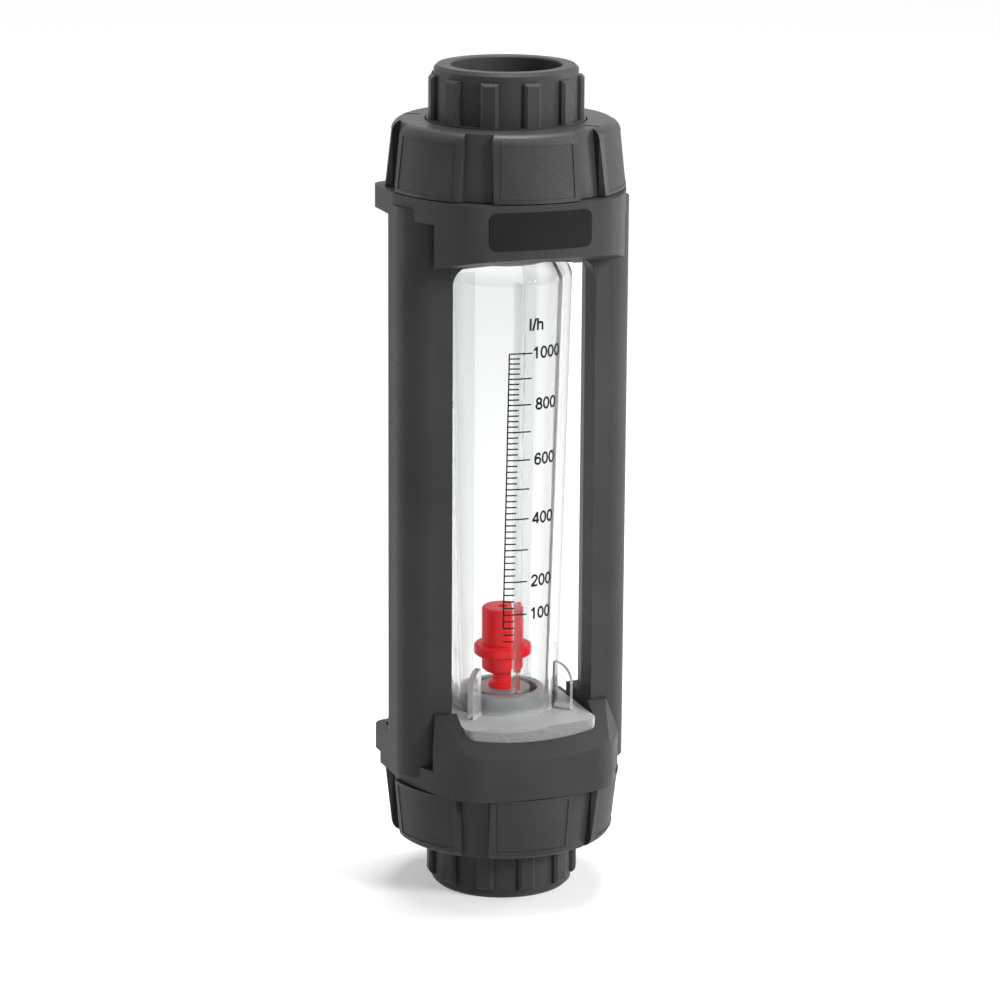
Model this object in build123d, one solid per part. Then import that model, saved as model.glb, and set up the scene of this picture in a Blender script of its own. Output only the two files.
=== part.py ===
from build123d import *
import math
import os

os.makedirs("parts", exist_ok=True)

# Frame: Z is the flow axis, the lower pipe socket stands on z = 0, the scale faces -Y.

# Pipe sockets at both ends, for a plastic pipe of 32 mm
pipe_bore_radius = 16.1
socket_depth = 22.0
socket_wall = 4.8
socket_rib_count = 11
socket_rib_width = 5.2
socket_rib_height = 1.6
socket_rib_start = 2.8
socket_rib_bevel = 0.8
socket_edge_chamfer = 0.4
socket_rim_bevel = 1.0
union_neck_wall = 2.2
union_collar_overlap = 2.2
union_seal_thickness = 4.8
flow_bore_radius = 12.7

# Union nuts
socket_proud = 15.7
nut_height = 19.2
nut_face_thickness = 3.4
nut_wall = 9.0
nut_taper = 2.1
nut_shoulder_round = 3.6
nut_panel_count = 6
nut_channel_floor_width = 8.4
nut_channel_mouth_width = 11.0
nut_channel_depth = 2.2
nut_panel_inset = 0.2
nut_panel_border_angle = 1.8
nut_panel_border_height = 2.0
nut_rest_angle = 25.8
nut_slot_angles = (40.0, -124.0)
nut_slot_start = 25.5
nut_slot_length = 5.0
nut_slot_width = 1.1
nut_slot_depth = 0.8

# Clearances
nut_running_gap = 0.3
nut_thread_gap = 0.4
neck_fit = 0.3
half_ring_fit = 0.1
flange_side_gap = 0.3
flange_seat_gap = 0.3
tube_side_gap = 0.5
stop_fit = 0.1
float_rest_gap = 0.2
float_guide_gap = 0.5
seal_fit = 0.05

# O rings
o_ring_radius = 15.3
o_ring_cord_radius = 1.35
o_ring_groove_play = 0.2

# Cage
cage_height = 175.8
spigot_over_collar = 0.2
yoke_plate_height = 6.7
yoke_front = 34.9
yoke_front_radius = 80.0
yoke_front_half_width = 22.2
yoke_corner_radius = 12.0
yoke_foot_inset = 1.7
yoke_cheek_bulge = 1.6
yoke_side_front = 3.0
lug_y = 12.2
lug_radius = 5.2
lug_hole_radius = 2.1
lower_lug_bottom = 5.1
lower_lug_height = 7.2
rear_ring_half_width = 26.5

# Columns beside the window
window_half_width = 21.9
window_front = 16.6
column_width = 13.6
column_inner_depth = 8.2
column_corner_radius = 9.6
column_corner_y = 5.9
column_rear = 3.6
column_rear_radius = 3.0
column_core_width = 5.0
column_core_wall = 3.6
column_core_margin = 14.0

# Sill below the window and brow above it
front_wall_side = 5.2
front_wall_flare = 0.5
sill_front_rise = 12.1
sill_slope = 0.62
sill_floor_rise = 15.6
sill_top_rise = 22.9
sill_facet_side_slope = 1.83
sill_facet_front_slope = 1.16
sill_facet_x = 28.4
sill_facet_front = 22.1
sill_facet_rise = 13.4
brow_front_drop = 15.4
brow_slope = 0.27
brow_ceiling_drop = 10.5
brow_beam_drop = 20.0
window_corner_radius = 5.5

# Label plate on the brow
label_width = 30.6
label_height = 10.8
label_thickness = 0.7
label_recess = 0.4
label_corner_radius = 2.3
label_offset_x = -1.7
label_drop = 7.4

# Clear measuring tube
tube_neck_radius = 16.6
tube_bottom_radius = 16.7
tube_top_radius = 19.6
tube_wall = 3.85
tube_taper_start = 24.8
tube_taper_drop = 27.0
tube_shoulder_height = 6.3
tube_shoulder_radius = 15.4
tube_flange_thickness = 4.5
tube_flange_half_width = 20.3
tube_flange_front = 28.6
tube_flange_corner_radius = 3.0
tube_flange_rear = 27.0
tube_fin_start_angle = 45.0
tube_fin_count = 4
tube_fin_thickness = 1.8
tube_fin_reach = 22.5
tube_fin_crest = 17.3
tube_fin_height = 14.4
tube_fin_round_height = 6.8
tube_guide_count = 3
tube_guide_thickness = 1.3
tube_guide_start_angle = 30.0

# Float and its stops, which leave it a travel of 104 mm
float_body_radius = 6.25
float_collar_radius = 8.5
float_collar_height = 3.3
float_body_top = 11.3
float_neck_groove = 0.35
float_neck_groove_height = 0.8
float_lower_body = 5.0
float_lower_chamfer = 0.9
float_stem_radius = 3.0
float_stem_height = 3.7
float_foot_radius = 4.3
float_foot_height = 1.3
float_edge = 0.5
float_dimple_radius = 1.6
float_dimple_depth = 1.2
stop_top_rise = 24.9
upper_stop_drop = 22.1
stop_height = 14.0
stop_wall = 2.4
stop_hub_radius = 8.2
stop_hub_height = 4.0
stop_arm_count = 3
stop_arm_thickness = 4.0
stop_arm_height = 5.0
stop_arm_drop = 0.6
stop_arm_start_angle = 30.0

# Places that follow from the sizes above
cage_bottom = socket_proud + nut_height + nut_running_gap
cage_top = cage_bottom + cage_height
overall_height = cage_top + cage_bottom
mid_height = overall_height / 2
nut_inside = socket_proud + nut_face_thickness
collar_start = nut_inside + nut_running_gap
seal_face = socket_depth + union_seal_thickness
socket_radius = pipe_bore_radius + socket_wall
union_neck_radius = socket_radius + union_neck_wall
nut_hole_radius = union_neck_radius + nut_thread_gap
union_collar_radius = union_neck_radius + union_collar_overlap
spigot_radius = union_collar_radius + spigot_over_collar
nut_thread_radius = spigot_radius + nut_thread_gap
nut_rim_radius = nut_thread_radius + nut_wall
nut_face_radius = nut_rim_radius - nut_taper
neck_bore_radius = tube_neck_radius + neck_fit
yoke_half_width = window_half_width + column_width
yoke_foot_half_width = yoke_half_width - yoke_foot_inset
lug_x = yoke_half_width - lug_radius
front_wall_half_width = window_half_width + front_wall_side
sill_floor = cage_bottom + sill_floor_rise
brow_ceiling = cage_top - brow_ceiling_drop
lug_rear_y = lug_y + lug_radius
yoke_rear_radius = math.hypot(lug_x, lug_rear_y)
column_corner_x = yoke_half_width - column_corner_radius
bore_bottom_radius = tube_bottom_radius - tube_wall
bore_top_radius = tube_top_radius - tube_wall
taper_start = cage_bottom + tube_taper_start
taper_end = cage_top - tube_taper_drop
stop_top = cage_bottom + stop_top_rise - float_rest_gap
float_foot = stop_top + float_rest_gap
float_collar = float_foot + float_foot_height + float_stem_height + float_lower_body
float_top = float_collar + float_collar_height + float_body_top
upper_stop_face = cage_top - upper_stop_drop
guide_radius = float_collar_radius + float_guide_gap
slab = 200.0


def turned(points):
    """A solid of revolution about Z from a closed profile of (radius, height) points."""
    profile = Plane.XZ * make_face(Polyline(*points, close=True))
    return revolve(profile, Axis.Z)


def ring(outer, inner, bottom, top):
    """A plain ring or tube between two heights."""
    return turned([(inner, bottom), (outer, bottom), (outer, top), (inner, top)])


def block(x0, x1, y0, y1, z0, z1):
    """A box between opposite corners."""
    return Pos(x0, y0, z0) * Box(x1 - x0, y1 - y0, z1 - z0, align=(Align.MIN, Align.MIN, Align.MIN))


def around(shape, count, start=0.0):
    """Equal copies of a shape about the flow axis."""
    return [Rot(0, 0, start + index * 360 / count) * shape for index in range(count)]


def upper(shape):
    """The same piece at the other end of the meter."""
    return mirror(shape, about=Plane.XY.offset(mid_height))


def save(shape, name):
    """One file for each piece."""
    export_step(shape, os.path.join("parts", name + ".step"))


# Union end: glued socket with grip ribs outside, collar and seal face inside the nut
def union_end():
    body = turned([
        (pipe_bore_radius + socket_edge_chamfer, 0),
        (socket_radius - socket_rim_bevel, 0),
        (socket_radius, socket_rim_bevel),
        (socket_radius, socket_proud - nut_running_gap),
        (union_neck_radius, socket_proud - nut_running_gap),
        (union_neck_radius, collar_start),
        (union_collar_radius, collar_start),
        (union_collar_radius, seal_face),
        (flow_bore_radius, seal_face),
        (flow_bore_radius, socket_depth),
        (pipe_bore_radius, socket_depth),
        (pipe_bore_radius, socket_edge_chamfer),
    ])
    rib_length = socket_proud - nut_running_gap - socket_rib_start
    rib_base = socket_wall / 2
    rib = Box(
        socket_rib_width,
        rib_base + socket_rib_height,
        rib_length,
        align=(Align.CENTER, Align.MAX, Align.MIN),
    )
    outer_edges = rib.faces().sort_by(Axis.Y)[0].edges().sort_by(Axis.Z)[:-1]
    rib = chamfer(outer_edges, socket_rib_bevel)
    rib = Pos(0, rib_base - socket_radius, socket_rib_start) * rib
    body += around(rib, socket_rib_count)
    groove_half = o_ring_cord_radius + o_ring_groove_play
    groove_depth = 2 * o_ring_cord_radius + seal_fit
    groove_floor = seal_face - groove_depth
    body -= ring(o_ring_radius + groove_half, o_ring_radius - groove_half, groove_floor, seal_face)
    return body


def o_ring():
    """Seal ring, with eight flats round its cord to keep the model light."""
    height = seal_face - o_ring_cord_radius - seal_fit
    return revolve(Plane.XZ * Pos(o_ring_radius, height) * RegularPolygon(o_ring_cord_radius, 8), Axis.Z)


# Union nut: a cone with six grip panels between six channels, and two slots in its face
def nut_outer_radius(height):
    share = (height - socket_proud) / nut_height
    return nut_face_radius + (nut_rim_radius - nut_face_radius) * share


def nut_cutter(depth, bottom, top, angle):
    """What a cutter removes from the cone, down to a depth, over an angle centred on -Y."""
    beyond = 10.0
    profile = Plane.XZ * make_face(Polyline(
        (nut_outer_radius(bottom) - depth, bottom),
        (nut_outer_radius(bottom) + beyond, bottom),
        (nut_outer_radius(top) + beyond, top),
        (nut_outer_radius(top) - depth, top),
        close=True,
    ))
    return Rot(0, 0, -90 - angle / 2) * revolve(profile, Axis.Z, revolution_arc=angle)


def nut_channel():
    """What a channel removes: drafted side walls and a floor that follows the cone."""
    nut_end = socket_proud + nut_height
    floor = nut_cutter(nut_channel_depth, socket_proud - 1, nut_end + 1, 180 / nut_panel_count)
    floor_front = nut_outer_radius(nut_end) - nut_channel_depth
    draft = (nut_channel_mouth_width - nut_channel_floor_width) / 2 / nut_channel_depth
    reach = 10.0
    half = nut_channel_floor_width / 2
    plan = make_face(Polyline(
        (-half, reach - floor_front),
        (-half, -floor_front),
        (-half - draft * reach, -floor_front - reach),
        (half + draft * reach, -floor_front - reach),
        (half, -floor_front),
        (half, reach - floor_front),
        close=True,
    ))
    return floor & Pos(0, 0, socket_proud - 1) * extrude(plan, nut_height + 2)


def union_nut():
    nut_end = socket_proud + nut_height
    body = turned([
        (nut_hole_radius, socket_proud),
        (nut_face_radius, socket_proud),
        (nut_rim_radius, nut_end),
        (nut_thread_radius, nut_end),
        (nut_thread_radius, nut_inside),
        (nut_hole_radius, nut_inside),
    ])
    face_edges = body.edges().filter_by(GeomType.CIRCLE).group_by(Axis.Z)[0].sort_by(SortBy.RADIUS)
    body = fillet(face_edges[-1], nut_shoulder_round)
    body -= around(nut_channel(), nut_panel_count, nut_rest_angle)
    pitch = 360 / nut_panel_count
    mouth_angle = math.degrees(nut_channel_mouth_width / nut_face_radius)
    inset_angle = pitch - mouth_angle - 2 * nut_panel_border_angle
    inset_bottom = socket_proud + nut_panel_border_height + 1
    inset = nut_cutter(nut_panel_inset, inset_bottom, nut_end - nut_panel_border_height / 2, inset_angle)
    body -= around(inset, nut_panel_count, nut_rest_angle + pitch / 2)
    slot_end = nut_slot_start + nut_slot_length
    half = nut_slot_width / 2
    slot_floor = socket_proud + nut_slot_depth
    slot = block(-half, half, -slot_end, -nut_slot_start, socket_proud - 1, slot_floor)
    for angle in nut_slot_angles:
        body -= Rot(0, 0, angle) * slot
    return body


# Cage: two yokes joined by two columns, with a brow and a sill in front of the tube
def arc_drop(radius, offset):
    """How far an arc falls back from its crown at an offset from the middle."""
    return radius - math.sqrt(radius ** 2 - offset ** 2)


def yoke_outline(half_width):
    """Plan of a yoke: shallow arc in front, bulged cheeks, lugs at the sides and a round back."""
    corner = Vector(yoke_front_half_width, arc_drop(yoke_front_radius, yoke_front_half_width) - yoke_front)
    side = Vector(half_width, -yoke_side_front)
    chord = side - corner
    outward = Vector(chord.Y, -chord.X).normalized()
    cheek = (corner + side) * 0.5 + outward * yoke_cheek_bulge
    lug_end = Vector(lug_x, lug_rear_y)
    turn = math.radians(45)
    nose = half_width - lug_x
    lug_mid = Vector(lug_x + nose * math.cos(turn), lug_y + lug_radius * math.sin(turn))
    front = ThreePointArc((-corner.X, corner.Y), (0, -yoke_front), corner)
    right = [
        ThreePointArc(corner, cheek, side),
        Line(side, (half_width, lug_y)),
        ThreePointArc((half_width, lug_y), lug_mid, lug_end),
        ThreePointArc(lug_end, Vector(1, 1).normalized() * yoke_rear_radius, (0, yoke_rear_radius)),
    ]
    left = [mirror(edge, about=Plane.YZ) for edge in right]
    outline = make_face(Curve() + [front] + right + left)
    corners = outline.vertices().sort_by(Axis.Y)[:2]
    return fillet(corners, yoke_corner_radius)


def yoke_slice(half_width, bottom, top):
    return Pos(0, 0, bottom) * extrude(yoke_outline(half_width), top - bottom)


def column_outline():
    """Plan of the right column: flat face beside the window, round outside, blunt back."""
    corner = Vector(column_corner_x, -column_corner_y)
    tilt = math.asin((column_corner_radius + column_corner_y - window_front) / -window_half_width * 2)
    start = corner + Vector(math.sin(tilt), -math.cos(tilt)) * column_corner_radius
    middle = corner + Vector(math.cos(math.pi / 4), -math.sin(math.pi / 4)) * column_corner_radius
    outer = Vector(yoke_half_width, -column_corner_y)
    inner_back = Vector(window_half_width, column_inner_depth - window_front)
    edges = [
        Line((window_half_width, -window_front), start),
        ThreePointArc(start, middle, outer),
        Line(outer, (yoke_half_width, column_rear)),
        Line((yoke_half_width, column_rear), (window_half_width + column_core_wall, column_rear)),
        Line((window_half_width + column_core_wall, column_rear), inner_back),
        Line(inner_back, (window_half_width, -window_front)),
    ]
    outline = make_face(Curve() + edges)
    back_corners = [v for v in outline.vertices() if v.X > yoke_half_width - 0.1 and v.Y > 0]
    return fillet(back_corners, column_rear_radius)


def column():
    bottom = cage_bottom + yoke_plate_height / 2
    top = cage_top - yoke_plate_height / 2
    body = Pos(0, 0, bottom) * extrude(column_outline(), top - bottom)
    core_x = window_half_width + column_core_wall
    core_front = column_core_wall - window_front
    core = block(
        core_x, core_x + column_core_width, core_front, column_rear + 1,
        cage_bottom + lower_lug_bottom + lower_lug_height + column_core_margin,
        cage_top - yoke_plate_height - column_core_margin,
    )
    core = fillet(core.edges().filter_by(Axis.Y), column_core_width / 2 - 0.1)
    return body - core


def front_wall(bottom, top, rear):
    """Wall across the front of a yoke: it follows the yoke, and its sides flare out to the cheeks."""
    half = front_wall_half_width
    reach = yoke_front
    flare = front_wall_flare * reach
    plan = make_face(Polyline(
        (-half, rear),
        (-half, -window_front),
        (-half - flare, -window_front - reach),
        (half + flare, -window_front - reach),
        (half, -window_front),
        (half, rear),
        close=True,
    ))
    return yoke_slice(yoke_half_width, bottom, top) & Pos(0, 0, bottom) * extrude(plan, top - bottom)


def flange_outline(gap):
    """Plan of a tube flange, or of its room in the cage."""
    half = tube_flange_half_width + gap
    front = tube_flange_front + gap
    rear = tube_flange_rear + gap
    corner = Vector(half, arc_drop(yoke_front_radius, half) - front)
    heel = Vector(half, math.sqrt(rear ** 2 - half ** 2))
    outline = make_face(Curve() + [
        ThreePointArc((-corner.X, corner.Y), (0, -front), corner),
        Line(corner, heel),
        ThreePointArc(heel, (0, rear), (-heel.X, heel.Y)),
        Line((-heel.X, heel.Y), (-corner.X, corner.Y)),
    ])
    return fillet(outline.vertices().sort_by(Axis.Y)[:2], tube_flange_corner_radius + gap)


def flange_room(bottom, top):
    """Room for a tube flange: its outline in front, the whole width between the columns behind."""
    pocket = Pos(0, 0, bottom) * extrude(flange_outline(flange_side_gap), top - bottom)
    return pocket + block(-window_half_width, window_half_width, -window_front, slab, bottom, top)


def sloped_cut(front_z, slope, side):
    """Half space above (side 1) or below (side -1) a plane that rises or falls towards the back."""
    reach = yoke_front + 5
    profile = Plane.YZ * make_face(Polyline(
        (-reach, front_z - 5 * slope),
        (0, front_z + slope * yoke_front),
        (0, front_z + side * slab),
        (-reach, front_z + side * slab),
        close=True,
    ))
    return extrude(profile, slab, both=True)


def sill():
    """Wall under the window: a sloping sill in front, the seat of the tube flange inside."""
    low = cage_bottom + yoke_plate_height / 2
    high = cage_bottom + sill_top_rise
    half = front_wall_half_width
    body = front_wall(low, high, column_rear)
    body += yoke_slice(yoke_half_width, low, sill_floor) & block(-half, half, 0, slab, low, sill_floor)
    body -= flange_room(sill_floor, high)
    body -= sloped_cut(cage_bottom + sill_front_rise, sill_slope, 1)
    for side in (-1, 1):
        place = (side * sill_facet_x, -sill_facet_front, cage_bottom + sill_facet_rise)
        tilt = (side * sill_facet_side_slope, -sill_facet_front_slope, 1)
        above = Box(slab, slab, slab, align=(Align.CENTER, Align.CENTER, Align.MIN))
        body -= Plane(origin=place, z_dir=tilt) * above & block(-slab, slab, -slab, -window_front, low, high)
    return body


def brow():
    """Wall over the window: carries the label plate and hides the upper tube flange."""
    low = cage_top - brow_beam_drop - 4
    high = cage_top - yoke_plate_height / 2
    body = front_wall(low, high, column_inner_depth - window_front)
    body -= sloped_cut(cage_top - brow_front_drop, -brow_slope, -1)
    return body - flange_room(brow_ceiling - tube_flange_thickness - flange_seat_gap, brow_ceiling)


def window_haunches():
    """Rounded upper corners of the window, in the plane of the columns."""
    top = cage_top - brow_beam_drop
    size = window_corner_radius
    front = -window_front
    back = column_inner_depth - window_front
    beam_top = brow_ceiling - tube_flange_thickness - flange_seat_gap
    beam = block(-window_half_width - 1, window_half_width + 1, front, back, top - size, beam_top)
    opening = block(-window_half_width, window_half_width, front - 1, back + 1, top - 3 * size, top)
    upper_edges = opening.edges().filter_by(Axis.Y).group_by(Axis.Z)[-1]
    return beam - fillet(upper_edges, size)


def cage_ring_lower():
    """Lower yoke with its spigot and bore, all the way round."""
    body = yoke_slice(yoke_foot_half_width, cage_bottom, cage_bottom + yoke_plate_height)
    lug_bottom = cage_bottom + lower_lug_bottom
    lug_top = lug_bottom + lower_lug_height
    lugs = yoke_slice(yoke_half_width, lug_bottom, lug_top)
    lugs -= block(-front_wall_half_width, front_wall_half_width, -slab, slab, lug_bottom, lug_top)
    lugs -= block(-slab, slab, -slab, -column_corner_y, lug_bottom, lug_top)
    body += lugs
    body += sill()
    body += ring(spigot_radius, neck_bore_radius, seal_face, cage_bottom + 1)
    body -= ring(neck_bore_radius, 0, seal_face - 1, cage_bottom + slab)
    return body


def cage_ring_upper():
    """Upper yoke with its brow, spigot and bore."""
    body = yoke_slice(yoke_half_width, cage_top - yoke_plate_height, cage_top)
    half = front_wall_half_width
    inner_rear = block(-half, half, 0, slab, brow_ceiling, cage_top - 1)
    body += yoke_slice(yoke_half_width, brow_ceiling, cage_top - 1) & inner_rear
    body += brow()
    body += window_haunches()
    body -= ring(tube_top_radius + tube_side_gap, 0, 0, brow_ceiling - tube_flange_thickness)
    spigot_top = overall_height - seal_face
    body += ring(spigot_radius, neck_bore_radius, cage_top - 1, spigot_top)
    body -= ring(neck_bore_radius, 0, brow_ceiling - 1, spigot_top + 1)
    return body


def lug_holes():
    holes = []
    for x in (-lug_x, lug_x):
        holes.append(Pos(x, lug_y, mid_height) * Cylinder(lug_hole_radius, overall_height))
    return holes


def rear_region(gap):
    """The part of each yoke behind the tube that comes off so that the tube can be laid in."""
    half = rear_ring_half_width - gap
    step = window_half_width - gap
    region = block(-half, half, column_rear + gap, slab, 0, overall_height)
    return region + block(-step, step, gap, slab, 0, overall_height)


def measuring_tube():
    """Clear tube: necks, flanges, tapered body and round shoulder, with its bore."""
    end_low = seal_face
    end_high = overall_height - seal_face
    flange_high = brow_ceiling - tube_flange_thickness
    shoulder_top = taper_end + tube_shoulder_height
    shoulder_start = Vector(tube_top_radius, taper_end)
    shoulder_end = Vector(tube_shoulder_radius, shoulder_top)
    shoulder_mid = Vector(tube_top_radius - 1.0, taper_end + tube_shoulder_height * 0.6)
    outline = [
        Polyline((0, end_low), (tube_neck_radius, end_low), (tube_neck_radius, sill_floor),
                 (tube_bottom_radius, taper_start), (tube_top_radius, taper_end)),
        ThreePointArc(shoulder_start, shoulder_mid, shoulder_end),
        Polyline(shoulder_end, (tube_shoulder_radius, flange_high), (tube_neck_radius, brow_ceiling),
                 (tube_neck_radius, end_high), (0, end_high), (0, end_low)),
    ]
    body = revolve(Plane.XZ * make_face(Curve() + outline), Axis.Z)
    body += tube_flange(sill_floor)
    body += tube_flange(flange_high)
    body += around(tube_fin(), tube_fin_count, tube_fin_start_angle)
    body -= turned([
        (0, end_low - 1),
        (bore_bottom_radius, end_low - 1),
        (bore_bottom_radius, taper_start),
        (bore_top_radius, taper_end),
        (bore_bottom_radius, shoulder_top),
        (bore_bottom_radius, end_high + 1),
        (0, end_high + 1),
    ])
    body += around(tube_guide(), tube_guide_count, tube_guide_start_angle)
    return body


def tube_flange(bottom):
    return Pos(0, 0, bottom) * extrude(flange_outline(0), tube_flange_thickness)


def tube_fin():
    """Radial gusset between the lower flange and the tube, in the plane of +X, round at the top."""
    foot = sill_floor + tube_flange_thickness
    root = tube_bottom_radius - tube_wall / 2
    top = foot + tube_fin_height
    spring = top - tube_fin_round_height
    share = math.sin(math.radians(45))
    shoulder = (
        tube_fin_crest + (tube_fin_reach - tube_fin_crest) * share,
        spring + tube_fin_round_height * share,
    )
    outline = [
        Polyline((tube_fin_reach, spring), (tube_fin_reach, foot - 1), (root, foot - 1),
                 (root, top), (tube_fin_crest, top)),
        ThreePointArc((tube_fin_crest, top), shoulder, (tube_fin_reach, spring)),
    ]
    plate = Plane.XZ * make_face(Curve() + outline)
    return extrude(plate, tube_fin_thickness / 2, both=True)


def tube_guide():
    """Straight rib inside the bore that keeps the float on the axis."""
    embed = tube_wall / 3
    plate = Plane.XZ * make_face(Polyline(
        (guide_radius, taper_start + 1),
        (bore_bottom_radius + embed, taper_start + 1),
        (bore_top_radius + embed, taper_end),
        (guide_radius, taper_end),
        close=True,
    ))
    return extrude(plate, tube_guide_thickness / 2, both=True)


def flow_float():
    """Float: foot, stem, body and reading collar, turned in one piece."""
    stem_top = float_foot + float_foot_height + float_stem_height
    groove_radius = float_body_radius - float_neck_groove
    collar_top = float_collar + float_collar_height
    groove_top = collar_top + float_neck_groove_height
    dimple = float_top - float_dimple_depth
    return turned([
        (0, float_foot),
        (float_foot_radius, float_foot),
        (float_foot_radius, float_foot + float_foot_height),
        (float_stem_radius, float_foot + float_foot_height + float_edge),
        (float_stem_radius, stem_top - float_edge),
        (float_body_radius - float_lower_chamfer, stem_top),
        (float_body_radius, stem_top + float_lower_chamfer),
        (float_body_radius, float_collar - float_edge),
        (float_collar_radius - float_edge, float_collar),
        (float_collar_radius, float_collar + float_edge),
        (float_collar_radius, collar_top - float_edge),
        (float_collar_radius - float_edge, collar_top),
        (groove_radius, collar_top),
        (groove_radius, groove_top),
        (float_body_radius, groove_top),
        (float_body_radius, float_top - float_edge),
        (float_body_radius - float_edge, float_top),
        (float_dimple_radius, float_top),
        (float_dimple_radius, dimple),
        (0, dimple),
    ])


def stop_ring(face, direction):
    """Float stop: a sleeve in the bore with arms that carry a central pad at its face."""
    outer = bore_bottom_radius - stop_fit
    inner = outer - stop_wall
    ends = sorted((face, face - direction * stop_height))
    body = ring(outer, inner, ends[0], ends[1])
    hub_ends = sorted((face, face - direction * stop_hub_height))
    body += ring(stop_hub_radius, 0, hub_ends[0], hub_ends[1])
    arm_face = face - direction * stop_arm_drop
    arm_ends = sorted((arm_face, arm_face - direction * stop_arm_height))
    half = stop_arm_thickness / 2
    arm = block(0, inner + stop_wall / 2, -half, half, arm_ends[0], arm_ends[1])
    body += around(arm, stop_arm_count, stop_arm_start_angle)
    return body


def label_plate(inner, outer):
    """Rounded plate that follows the brow's arc, between two depths from its face."""
    centre_y = yoke_front_radius - yoke_front
    shell = ring(yoke_front_radius + outer, yoke_front_radius + inner, 0, overall_height)
    outline = Pos(label_offset_x, cage_top - label_drop, 0) * RectangleRounded(
        label_width, label_height, label_corner_radius)
    column_of_plate = extrude(Plane.XZ * outline, yoke_front + label_thickness + 1)
    return column_of_plate & Pos(0, centre_y, 0) * shell


# The cage is whole at first, then the half rings behind the tube are taken out of it
lower_ring = cage_ring_lower()
upper_ring = cage_ring_upper()
lower_rear = lower_ring & rear_region(half_ring_fit)
upper_rear = upper_ring & rear_region(half_ring_fit)
cage = lower_ring + upper_ring
cage -= rear_region(0)
right_column = column()
cage += [right_column, mirror(right_column, about=Plane.YZ)]
cage -= lug_holes()
cage -= label_plate(-label_recess, label_thickness)

save(cage, "front_cage")
save(lower_rear, "lower_rear_half_ring")
save(upper_rear, "upper_rear_half_ring")
save(label_plate(-label_recess, label_thickness - label_recess), "label_plate")
save(measuring_tube(), "measuring_tube")
save(flow_float(), "flow_float")
save(stop_ring(stop_top, 1), "lower_float_stop")
save(stop_ring(upper_stop_face, -1), "upper_float_stop")

end_pieces = {"union_end": union_end(), "union_nut": union_nut(), "o_ring": o_ring()}
for name, shape in end_pieces.items():
    save(shape, "lower_" + name)
    save(upper(shape), "upper_" + name)
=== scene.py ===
import math

import bmesh
import bpy
from mathutils import Matrix, Vector


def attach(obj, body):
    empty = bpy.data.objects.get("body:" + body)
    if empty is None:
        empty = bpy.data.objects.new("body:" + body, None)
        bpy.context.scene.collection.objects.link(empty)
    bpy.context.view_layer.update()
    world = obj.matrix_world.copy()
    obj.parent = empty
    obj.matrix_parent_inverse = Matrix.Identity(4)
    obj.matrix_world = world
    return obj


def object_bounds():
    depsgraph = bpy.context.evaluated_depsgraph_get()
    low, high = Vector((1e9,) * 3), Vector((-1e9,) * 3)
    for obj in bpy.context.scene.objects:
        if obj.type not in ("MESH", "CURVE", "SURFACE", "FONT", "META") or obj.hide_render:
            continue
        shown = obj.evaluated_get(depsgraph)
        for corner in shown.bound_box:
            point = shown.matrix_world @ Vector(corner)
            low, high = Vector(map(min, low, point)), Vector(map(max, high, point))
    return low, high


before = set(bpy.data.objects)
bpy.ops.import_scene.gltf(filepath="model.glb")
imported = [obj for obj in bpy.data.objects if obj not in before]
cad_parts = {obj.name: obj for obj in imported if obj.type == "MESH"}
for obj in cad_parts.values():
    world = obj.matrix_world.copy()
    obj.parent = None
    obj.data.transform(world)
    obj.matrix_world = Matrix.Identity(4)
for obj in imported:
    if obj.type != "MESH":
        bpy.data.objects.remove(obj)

cadLow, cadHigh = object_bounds()
scene = bpy.context.scene
mm = 0.001
print("frame loaded, height", round(cadHigh.z - cadLow.z, 4))


# Steps that every material shares

def newMaterial(name):
    material = bpy.data.materials.new(name)
    material.use_nodes = True
    return material, material.node_tree, material.node_tree.nodes["Principled BSDF"]


def objectPattern(tree):
    return tree.nodes.new("ShaderNodeTexCoord").outputs["Object"]


def addNoise(tree, vector, scale, detail=3, roughness=0.55):
    noise = tree.nodes.new("ShaderNodeTexNoise")
    noise.inputs["Scale"].default_value = scale
    noise.inputs["Detail"].default_value = detail
    noise.inputs["Roughness"].default_value = roughness
    tree.links.new(vector, noise.inputs["Vector"])
    return noise.outputs["Fac"]


def addRamp(tree, value, low, high):
    ramp = tree.nodes.new("ShaderNodeMapRange")
    ramp.inputs["From Min"].default_value = low[0]
    ramp.inputs["From Max"].default_value = high[0]
    ramp.inputs["To Min"].default_value = low[1]
    ramp.inputs["To Max"].default_value = high[1]
    tree.links.new(value, ramp.inputs["Value"])
    return ramp.outputs["Result"]


def addBump(tree, height, strength, distance, before=None):
    bump = tree.nodes.new("ShaderNodeBump")
    bump.inputs["Strength"].default_value = strength
    bump.inputs["Distance"].default_value = distance
    tree.links.new(height, bump.inputs["Height"])
    if before:
        tree.links.new(before, bump.inputs["Normal"])
    return bump.outputs["Normal"]


def mixTints(tree, factor, dark, light):
    mix = tree.nodes.new("ShaderNodeMix")
    mix.data_type = "RGBA"
    mix.inputs[6].default_value = (*dark, 1)
    mix.inputs[7].default_value = (*light, 1)
    tree.links.new(factor, mix.inputs[0])
    return mix.outputs[2]


def doMath(tree, kind, first, second=0):
    node = tree.nodes.new("ShaderNodeMath")
    node.operation = kind
    for socket, value in zip(node.inputs, (first, second)):
        if isinstance(value, (int, float)):
            socket.default_value = value
        else:
            tree.links.new(value, socket)
    return node.outputs[0]


# Black plastic of the cage and of the union ends

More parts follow.
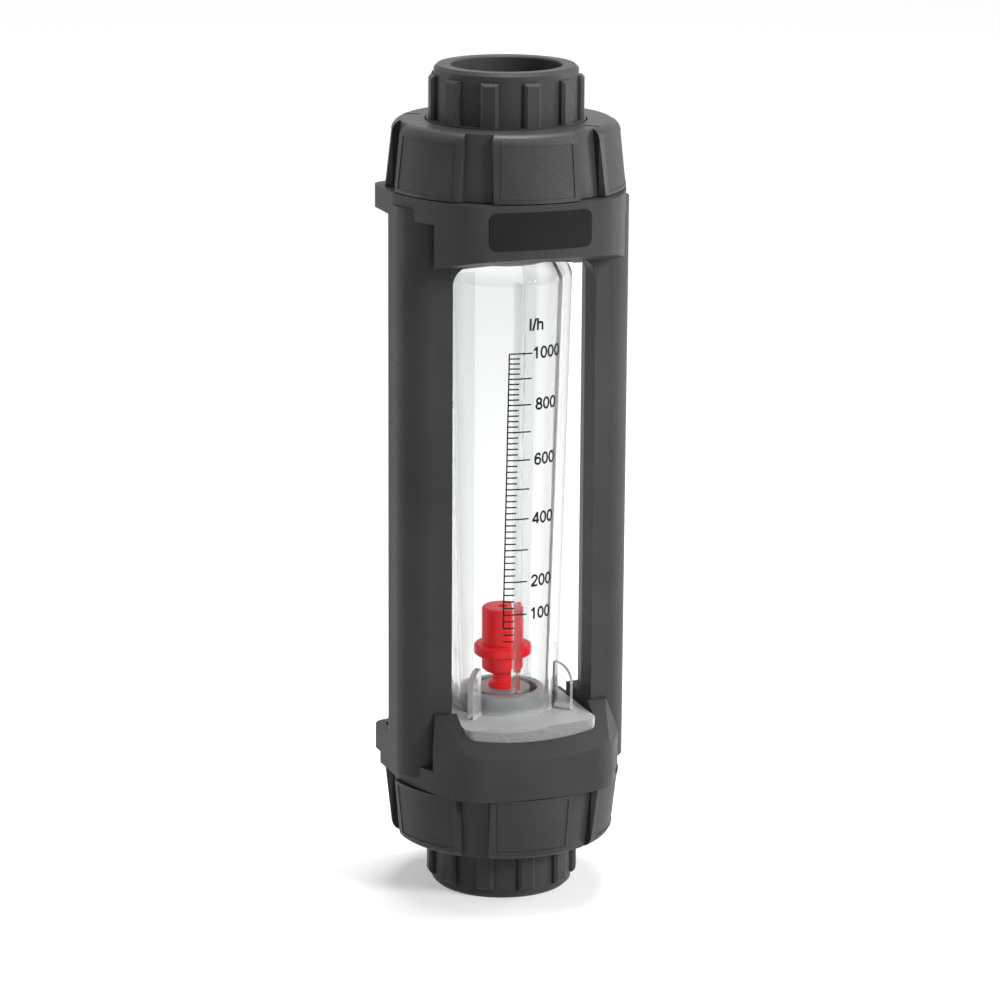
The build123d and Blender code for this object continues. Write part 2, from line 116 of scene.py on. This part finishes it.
blackMouldings = {
    "cagePlastic": {
        "dark": (0.022, 0.022, 0.023),
        "light": (0.030, 0.030, 0.031),
        "cloudScale": 38,
        "grainScale": 1500,
        "grainDepth": 0.12 * mm,
        "grainStrength": 0.6,
        "gloss": (0.44, 0.58),      # roughness in the hollows and on the tips of the grain
    },
    "unionPlastic": {
        "dark": (0.024, 0.024, 0.025),
        "light": (0.034, 0.034, 0.035),
        "cloudScale": 38,
        "grainScale": 1100,
        "grainDepth": 0.16 * mm,
        "grainStrength": 0.6,
        "gloss": (0.42, 0.56),
    },
}
blackSpecular = 0.2
blackClouds = (0.35, 0.68)          # noise values of the darkest and the lightest tint


def tintWithClouds(tree, shader, place, values):
    clouds = addNoise(tree, place, values["cloudScale"])
    factor = addRamp(tree, clouds, (blackClouds[0], 0), (blackClouds[1], 1))
    tree.links.new(mixTints(tree, factor, values["dark"], values["light"]), shader.inputs["Base Color"])


def grainedPlastic(name):
    # Spark grain, faint cloudiness and a little variation in gloss
    values = blackMouldings[name]
    material, tree, shader = newMaterial(name)
    place = objectPattern(tree)
    tintWithClouds(tree, shader, place, values)
    grain = addNoise(tree, place, values["grainScale"], roughness=0.6)
    gloss = addRamp(tree, grain, (0.3, values["gloss"][0]), (0.7, values["gloss"][1]))
    tree.links.new(gloss, shader.inputs["Roughness"])
    bump = addBump(tree, grain, values["grainStrength"], values["grainDepth"])
    tree.links.new(bump, shader.inputs["Normal"])
    shader.inputs["Specular IOR Level"].default_value = blackSpecular
    return material


# Black plastic of the union nuts

gripPanel = {
    "dark": (0.024, 0.024, 0.025),
    "light": (0.034, 0.034, 0.035),
    "cloudScale": 45,
    "count": 6,
    "middle": 55.8,             # degrees from the front to the middle of a panel
    "halfWidth": 18.6,          # degrees of stipple to each side of it
    "soften": 0.5,
    "lowRange": (16.8 * mm, 33.8 * mm),
    "highRange": (212.4 * mm, 229.4 * mm),
    "fineScale": 2200,
    "fineDepth": 0.1 * mm,
    "stippleScale": 2800,
    "stippleDepth": 0.2 * mm,
    "gloss": (0.42, 0.52),      # roughness of the smooth channels and of the stipple
}


def panelMask(tree, place):
    # 1 inside the border of each grip panel, 0 in the channels between them
    parts = tree.nodes.new("ShaderNodeSeparateXYZ")
    tree.links.new(place, parts.inputs[0])
    across, back, height = parts.outputs
    turn = doMath(tree, "ARCTAN2", across, doMath(tree, "MULTIPLY", back, -1))
    pitch = math.tau / gripPanel["count"]
    shifted = doMath(tree, "SUBTRACT", turn, math.radians(gripPanel["middle"]) - pitch / 2)
    inPitch = doMath(tree, "FLOORED_MODULO", shifted, pitch)
    offset = doMath(tree, "ABSOLUTE", doMath(tree, "SUBTRACT", inPitch, pitch / 2))
    half = math.radians(gripPanel["halfWidth"])
    mask = addRamp(tree, offset, (half - math.radians(gripPanel["soften"]), 1), (half, 0))
    heights = []
    for low, high in (gripPanel["lowRange"], gripPanel["highRange"]):
        above = doMath(tree, "GREATER_THAN", height, low)
        below = doMath(tree, "LESS_THAN", height, high)
        heights.append(doMath(tree, "MULTIPLY", above, below))
    return doMath(tree, "MULTIPLY", mask, doMath(tree, "MAXIMUM", *heights))


def stippledPlastic():
    # Smooth in the channels, coarse stipple on the grip panels
    material, tree, shader = newMaterial("nutPlastic")
    place = objectPattern(tree)
    mask = panelMask(tree, place)
    tintWithClouds(tree, shader, place, gripPanel)
    fine = addNoise(tree, place, gripPanel["fineScale"], detail=2)
    stipple = addNoise(tree, place, gripPanel["stippleScale"], detail=1.5, roughness=0.5)
    smooth = addBump(tree, fine, 0.35, gripPanel["fineDepth"])
    raised = doMath(tree, "MULTIPLY", stipple, mask)
    tree.links.new(addBump(tree, raised, 0.9, gripPanel["stippleDepth"], smooth), shader.inputs["Normal"])
    gloss = addRamp(tree, mask, (0, gripPanel["gloss"][0]), (1, gripPanel["gloss"][1]))
    tree.links.new(gloss, shader.inputs["Roughness"])
    shader.inputs["Specular IOR Level"].default_value = blackSpecular
    return material


# Clear plastic of the measuring tube

tubePlastic = {
    "tint": (0.86, 0.87, 0.865),
    "ior": 1.14,
    "rippleScale": 60,
    "rippleDepth": 0.1 * mm,
    "gloss": (0.0, 0.03),
    "clearAbove": 57 * mm,
    "hazyBelow": 55.4 * mm,
    "clearShare": 1.0,          # light that goes straight through the wall
    "hazyShare": 0.74,
    "edgeShare": 0.2,           # taken from it where the wall is seen edge on
    "edgeFrom": 0.3,
    "edgeTo": 0.5,
}


def clearPlastic():
    # Clear wall, with a whitish haze in the thick flange and gussets at its foot
    material, tree, shader = newMaterial("clearPlastic")
    place = objectPattern(tree)
    parts = tree.nodes.new("ShaderNodeSeparateXYZ")
    tree.links.new(place, parts.inputs[0])
    share = addRamp(tree, parts.outputs[2], (tubePlastic["hazyBelow"], tubePlastic["hazyShare"]),
                    (tubePlastic["clearAbove"], tubePlastic["clearShare"]))
    facing = tree.nodes.new("ShaderNodeLayerWeight")
    facing.inputs["Blend"].default_value = 0.5
    edge = addRamp(tree, facing.outputs["Facing"], (tubePlastic["edgeFrom"], 0),
                   (tubePlastic["edgeTo"], tubePlastic["edgeShare"]))
    tree.links.new(doMath(tree, "SUBTRACT", share, edge), shader.inputs["Transmission Weight"])
    shader.inputs["Base Color"].default_value = (*tubePlastic["tint"], 1)
    shader.inputs["IOR"].default_value = tubePlastic["ior"]
    ripple = addNoise(tree, place, tubePlastic["rippleScale"], detail=2)
    gloss = addRamp(tree, ripple, (0.3, tubePlastic["gloss"][0]), (0.8, tubePlastic["gloss"][1]))
    tree.links.new(gloss, shader.inputs["Roughness"])
    tree.links.new(addBump(tree, ripple, 0.1, tubePlastic["rippleDepth"]), shader.inputs["Normal"])
    return material


# Float, stops, label plate, seals and ink

plainFinishes = {
    "floatRed": {
        "dark": (0.86, 0.004, 0.012),
        "light": (0.94, 0.008, 0.018),
        "cloudScale": 120,
        "gloss": (0.3, 0.42),
        "specular": 0.25,
        "bump": 0.15,
    },
    "stopGrey": {
        "dark": (0.34, 0.35, 0.36),
        "light": (0.42, 0.43, 0.44),
        "cloudScale": 150,
        "gloss": (0.32, 0.46),
        "specular": 0.5,
        "bump": 0.15,
    },
    "labelGloss": {
        "dark": (0.006, 0.006, 0.007),
        "light": (0.010, 0.010, 0.011),
        "cloudScale": 90,
        "gloss": (0.14, 0.24),
        "specular": 0.12,
        "bump": 0,
    },
    "sealRubber": {
        "dark": (0.012, 0.012, 0.012),
        "light": (0.02, 0.02, 0.02),
        "cloudScale": 400,
        "gloss": (0.7, 0.7),
        "specular": 0.5,
        "bump": 0.3,
    },
    "printInk": {
        "dark": (0.003, 0.003, 0.003),
        "light": (0.008, 0.008, 0.008),
        "cloudScale": 900,
        "gloss": (0.55, 0.55),
        "specular": 0.12,
        "bump": 0,
    },
}
plainBumpDepth = 0.1 * mm


def plainPlastic(name):
    values = plainFinishes[name]
    material, tree, shader = newMaterial(name)
    clouds = addNoise(tree, objectPattern(tree), values["cloudScale"])
    factor = addRamp(tree, clouds, (0.3, 0), (0.7, 1))
    tree.links.new(mixTints(tree, factor, values["dark"], values["light"]), shader.inputs["Base Color"])
    gloss = addRamp(tree, clouds, (0.3, values["gloss"][0]), (0.7, values["gloss"][1]))
    tree.links.new(gloss, shader.inputs["Roughness"])
    shader.inputs["Specular IOR Level"].default_value = values["specular"]
    if values["bump"]:
        tree.links.new(addBump(tree, clouds, values["bump"], plainBumpDepth), shader.inputs["Normal"])
    return material


def dressNodes():
    cage = grainedPlastic("cagePlastic")
    wear = {
        "front_cage": cage,
        "label_plate": plainPlastic("labelGloss"),
        "measuring_tube": clearPlastic(),
        "flow_float": plainPlastic("floatRed"),
    }
    union = grainedPlastic("unionPlastic")
    nut = stippledPlastic()
    stop = plainPlastic("stopGrey")
    rubber = plainPlastic("sealRubber")
    for end in ("lower", "upper"):
        wear[end + "_rear_half_ring"] = cage
        wear[end + "_union_end"] = union
        wear[end + "_union_nut"] = nut
        wear[end + "_float_stop"] = stop
        wear[end + "_o_ring"] = rubber
    for name, material in wear.items():
        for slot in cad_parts[name].material_slots:
            slot.material = material
    print("dressed", len(wear), "moulded pieces")


# Printing on the tube

tubeForm = {
    "lowHeight": 60.0 * mm,
    "lowRadius": 16.7 * mm,
    "highHeight": 184.0 * mm,
    "highRadius": 19.6 * mm,
}

scalePrint = {
    "inkThickness": 0.06 * mm,
    "inkSink": 0.01 * mm,
    "curveStep": 0.8 * mm,
    "first": 20,
    "last": 1000,
    "step": 20,
    "longEvery": 100,
    "zeroHeight": 76.2 * mm,
    "rise": 10.46 * mm,         # for each 100 l/h
    "bend": -0.158 * mm,
    "lineFrom": 60,
    "lineLow": -5.95 * mm,      # left edge of the ticks at 100
    "lineHigh": -5.36 * mm,     # and at 1000
    "lineWidth": 0.42 * mm,
    "tickWidth": 0.42 * mm,
    "shortTick": 3.1 * mm,
    "longTick": 6.9 * mm,
    "numberLeft": {
        100: 2.0 * mm,
        200: 2.15 * mm,
        400: 2.3 * mm,
        600: 2.6 * mm,
        800: 2.7 * mm,
        1000: 1.5 * mm,
    },
    "numberHeight": 3.55 * mm,
    "numberPitch": 0.765,       # of the height, from one figure to the next
    "numberSqueeze": 0.95,      # width against the figures' own
    "stroke": 0.185,            # of the height, width of a stroke
    "unit": "l/h",
    "unitHeight": 173.4 * mm,
    "unitLeft": 0.4 * mm,
}

# Strokes of each figure in a box of height 1: ("ring", centre, radii), ("arc", centre, radii, from, to)
# in degrees, or ("line", points)
figures = {
    "0": [("ring", (0.388, 0.5), (0.27, 0.438))],
    "1": [("line", ((0.44, 0), (0.44, 1))), ("line", ((0.15, 0.755), (0.30, 0.79), (0.42, 0.94)))],
    "2": [("arc", (0.385, 0.685), (0.26, 0.255), 172, -22), ("line", ((0.626, 0.59), (0.10, 0.08))),
          ("line", ((0.06, 0.0625), (0.69, 0.0625)))],
    "4": [("line", ((0.53, 0), (0.53, 1))), ("line", ((0.52, 0.93), (0.09, 0.30))),
          ("line", ((0.03, 0.265), (0.71, 0.265)))],
    "6": [("ring", (0.39, 0.325), (0.265, 0.263)), ("arc", (0.41, 0.42), (0.29, 0.518), 38, 190)],
    "8": [("ring", (0.39, 0.735), (0.225, 0.203)), ("ring", (0.39, 0.285), (0.27, 0.223))],
    "l": [("line", ((0.12, 0), (0.12, 1)))],
    "/": [("line", ((0.03, -0.02), (0.33, 1.02)))],
    "h": [("line", ((0.12, 0), (0.12, 1))), ("arc", (0.36, 0.47), (0.225, 0.195), 172, 0),
          ("line", ((0.585, 0.49), (0.585, 0)))],
}
figurePitch = {"l": 0.31, "/": 0.39}
arcStep = 12                    # degrees


def tubeRadius(height):
    share = (height - tubeForm["lowHeight"]) / (tubeForm["highHeight"] - tubeForm["lowHeight"])
    return tubeForm["lowRadius"] + share * (tubeForm["highRadius"] - tubeForm["lowRadius"])


def scaleHeight(flow):
    hundreds = flow / 100
    return scalePrint["zeroHeight"] + scalePrint["rise"] * hundreds + scalePrint["bend"] * hundreds ** 2


def lineLeft(height):
    bottom = scaleHeight(100)
    top = scaleHeight(1000)
    share = (height - bottom) / (top - bottom)
    return scalePrint["lineLow"] + (scalePrint["lineHigh"] - scalePrint["lineLow"]) * share


def flatBar(mesh, left, right, bottom, top):
    made = bmesh.ops.create_grid(mesh, x_segments=1, y_segments=1, size=0.5)
    centre = Vector(((left + right) / 2, (bottom + top) / 2, 0))
    bmesh.ops.scale(mesh, vec=(right - left, top - bottom, 1), verts=made["verts"])
    bmesh.ops.translate(mesh, vec=centre, verts=made["verts"])


def strokePath(stroke):
    kind = stroke[0]
    if kind == "line":
        return [Vector(point) for point in stroke[1]]
    centre, radii = stroke[1], stroke[2]
    first, last = (0, 360) if kind == "ring" else stroke[3:]
    steps = max(6, round(abs(last - first) / arcStep))
    path = []
    for step in range(steps + 1):
        turn = math.radians(first + (last - first) * step / steps)
        path.append(Vector((centre[0] + radii[0] * math.cos(turn), centre[1] + radii[1] * math.sin(turn))))
    return path


def drawStroke(mesh, stroke, left, bottom, height):
    # A ribbon of even width along the stroke's path
    path = strokePath(stroke)
    isRing = stroke[0] == "ring"
    half = scalePrint["stroke"] / 2
    sides = []
    for index, point in enumerate(path):
        before = path[index - 1] if index > 0 else (path[-2] if isRing else point)
        after = path[index + 1] if index < len(path) - 1 else (path[1] if isRing else point)
        heading = (after - before).normalized()
        across = Vector((-heading.y, heading.x)) * half
        pair = []
        for edge in (point + across, point - across):
            along = edge.x * height * scalePrint["numberSqueeze"]
            pair.append(mesh.verts.new((left + along, bottom + edge.y * height, 0)))
        sides.append(pair)
    for low, high in zip(sides, sides[1:]):
        mesh.faces.new((low[0], low[1], high[1], high[0]))


def placeText(mesh, words, left, middle):
    height = scalePrint["numberHeight"]
    for letter in words:
        for stroke in figures[letter]:
            drawStroke(mesh, stroke, left, middle - height / 2, height)
        left += figurePitch.get(letter, scalePrint["numberPitch"]) * height * scalePrint["numberSqueeze"]


def wrapOnTube(mesh):
    # The flat print is cut into narrow strips, given a thickness and bent round the tube
    left = min(v.co.x for v in mesh.verts)
    right = max(v.co.x for v in mesh.verts)
    cut = left + scalePrint["curveStep"]
    while cut < right:
        everything = mesh.verts[:] + mesh.edges[:] + mesh.faces[:]
        bmesh.ops.bisect_plane(mesh, geom=everything, plane_co=(cut, 0, 0), plane_no=(1, 0, 0))
        cut += scalePrint["curveStep"]
    bmesh.ops.remove_doubles(mesh, verts=mesh.verts, dist=0.002 * mm)
    bmesh.ops.recalc_face_normals(mesh, faces=mesh.faces)
    for face in mesh.faces:
        if face.normal.z < 0:
            face.normal_flip()
    raised = bmesh.ops.extrude_face_region(mesh, geom=mesh.faces[:], use_keep_orig=True)
    top = [part for part in raised["geom"] if isinstance(part, bmesh.types.BMVert)]
    bmesh.ops.translate(mesh, vec=(0, 0, scalePrint["inkThickness"]), verts=top)
    for vertex in mesh.verts:
        along, height, proud = vertex.co
        radius = tubeRadius(height)
        angle = along / radius
        reach = radius + proud - scalePrint["inkSink"]
        vertex.co = Vector((reach * math.sin(angle), -reach * math.cos(angle), height))
    bmesh.ops.recalc_face_normals(mesh, faces=mesh.faces)


def finishPrint(mesh, name, ink):
    wrapOnTube(mesh)
    data = bpy.data.meshes.new(name)
    mesh.to_mesh(data)
    mesh.free()
    piece = bpy.data.objects.new(name, data)
    scene.collection.objects.link(piece)
    data.materials.append(ink)
    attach(piece, "meter")


def makeScale():
    ink = plainPlastic("printInk")
    ticks = bmesh.new()
    half = scalePrint["tickWidth"] / 2
    for flow in range(scalePrint["first"], scalePrint["last"] + 1, scalePrint["step"]):
        height = scaleHeight(flow)
        start = lineLeft(height)
        isLong = flow % scalePrint["longEvery"] == 0
        length = scalePrint["longTick"] if isLong else scalePrint["shortTick"]
        flatBar(ticks, start, start + length, height - half, height + half)
    finishPrint(ticks, "scale_ticks", ink)

    line = bmesh.new()
    half = scalePrint["lineWidth"] / 2
    flatBar(line, -half, half, scaleHeight(scalePrint["lineFrom"]), scaleHeight(scalePrint["last"]))
    for vertex in line.verts:
        vertex.co.x += lineLeft(vertex.co.y)
    finishPrint(line, "scale_line", ink)

    for number, left in scalePrint["numberLeft"].items():
        digits = bmesh.new()
        placeText(digits, str(number), left, scaleHeight(number))
        finishPrint(digits, "scale_number_" + str(number), ink)

    unit = bmesh.new()
    placeText(unit, scalePrint["unit"], scalePrint["unitLeft"], scalePrint["unitHeight"])
    finishPrint(unit, "scale_unit", ink)
    print("printed the scale")


# Studio

photoView = {
    "distance": 1156 * mm,      # level distance from the axis
    "height": 409 * mm,
    "azimuth": -20.3,           # degrees, the camera stands to the left of the scale
    "pitch": 14.18,
    "roll": 0.37,
    "lens": 145.5,
    "shiftX": -0.0035,
}


def makeCamera():
    turn = math.radians(photoView["azimuth"])
    cameraData = bpy.data.cameras.new("camera")
    camera = bpy.data.objects.new("camera", cameraData)
    scene.collection.objects.link(camera)
    cameraData.sensor_width = 36
    cameraData.lens = photoView["lens"]
    cameraData.shift_x = photoView["shiftX"]
    cameraData.clip_start = 0.05
    cameraData.clip_end = 20
    place = Vector((
        math.sin(turn) * photoView["distance"],
        -math.cos(turn) * photoView["distance"],
        photoView["height"],
    ))
    tilt = math.radians(90 - photoView["pitch"])
    facing = Matrix.Rotation(turn, 4, "Z") @ Matrix.Rotation(tilt, 4, "X")
    facing = facing @ Matrix.Rotation(math.radians(photoView["roll"]), 4, "Z")
    camera.matrix_world = Matrix.Translation(place) @ facing
    scene.camera = camera
    print("camera placed")


lamps = {
    "left": {"place": (-1.0, 0.65, 0.4), "target": (0, 0, 0.13), "size": (0.3, 1.1), "power": 4},
    "right": {"place": (1.1, -0.1, 0.45), "target": (0, 0, 0.13), "size": (0.3, 1.1), "power": 9.5},
    "front": {"place": (0.7, -1.15, 0.75), "target": (0, 0, 0.15), "size": (0.35, 0.35), "power": 21},
    "top": {"place": (0.1, 0.15, 1.2), "target": (0, 0, 0.2), "size": (0.45, 0.45), "power": 14},
}


def makeLamps():
    for name, values in lamps.items():
        light = bpy.data.lights.new(name + "Lamp", "AREA")
        light.shape = "RECTANGLE"
        light.size, light.size_y = values["size"]
        light.energy = values["power"]
        lamp = bpy.data.objects.new(name + "Lamp", light)
        scene.collection.objects.link(lamp)
        place = Vector(values["place"])
        lamp.location = place
        lamp.rotation_euler = (Vector(values["target"]) - place).to_track_quat("-Z", "Y").to_euler()
    print("placed", len(lamps), "lamps")


def seenDirectly(tree):
    # 1 where the camera, a reflection or a clear surface looks, 0 for dull light
    path = tree.nodes.new("ShaderNodeLightPath").outputs
    first = doMath(tree, "MAXIMUM", path["Is Camera Ray"], path["Is Glossy Ray"])
    return doMath(tree, "MAXIMUM", first, path["Is Transmission Ray"])


surround = {
    "fill": 0.32,               # strength of the grey surround on dull surfaces
    "backdrop": 1.0,            # strength that the camera and clear surfaces see
}


def makeSurround():
    world = bpy.data.worlds.new("studio")
    scene.world = world
    world.use_nodes = True
    tree = world.node_tree
    fill = tree.nodes["Background"]
    backdrop = tree.nodes.new("ShaderNodeBackground")
    for light, strength in ((fill, surround["fill"]), (backdrop, surround["backdrop"])):
        light.inputs["Color"].default_value = (1, 1, 1, 1)
        light.inputs["Strength"].default_value = strength
    mix = tree.nodes.new("ShaderNodeMixShader")
    tree.links.new(seenDirectly(tree), mix.inputs[0])
    tree.links.new(fill.outputs[0], mix.inputs[1])
    tree.links.new(backdrop.outputs[0], mix.inputs[2])
    tree.links.new(mix.outputs[0], tree.nodes["World Output"].inputs["Surface"])
    print("surround set")


ground = {
    "size": 6.0,
    "tint": (0.6, 0.6, 0.6),
    "glowNear": 0.36,           # lifts the floor towards white for the camera, shadow kept; lower near the object, which paints the floor round its foot a little darker (painted shade)
    "glowFar": 0.7,
    "nearReach": 0.3,
    "farReach": 1.8,
}


def makeGround():
    mesh = bmesh.new()
    bmesh.ops.create_grid(mesh, x_segments=1, y_segments=1, size=ground["size"] / 2)
    bmesh.ops.translate(mesh, vec=(0, 0, cadLow.z), verts=mesh.verts)
    data = bpy.data.meshes.new("floor")
    mesh.to_mesh(data)
    mesh.free()
    floor = bpy.data.objects.new("floor", data)
    scene.collection.objects.link(floor)
    material, tree, shader = newMaterial("floor")
    shader.inputs["Base Color"].default_value = (*ground["tint"], 1)
    shader.inputs["Roughness"].default_value = 0.9
    shader.inputs["Specular IOR Level"].default_value = 0.1
    away = tree.nodes.new("ShaderNodeVectorMath")
    away.operation = "LENGTH"
    tree.links.new(objectPattern(tree), away.inputs[0])
    # Glow grows with distance from the object: more far off, where the lamps light the floor less, and
    # less near the foot, which paints a darker ring of floor round the object (painted shade)
    lift = addRamp(tree, away.outputs["Value"], (ground["nearReach"], ground["glowNear"]),
                   (ground["farReach"], ground["glowFar"]))
    glow = doMath(tree, "MULTIPLY", seenDirectly(tree), lift)
    shader.inputs["Emission Color"].default_value = (1, 1, 1, 1)
    tree.links.new(glow, shader.inputs["Emission Strength"])
    data.materials.append(material)
    print("floor laid")


makeCamera()
dressNodes()
makeScale()
makeLamps()
makeSurround()
makeGround()
scene.view_settings.view_transform = "Standard"
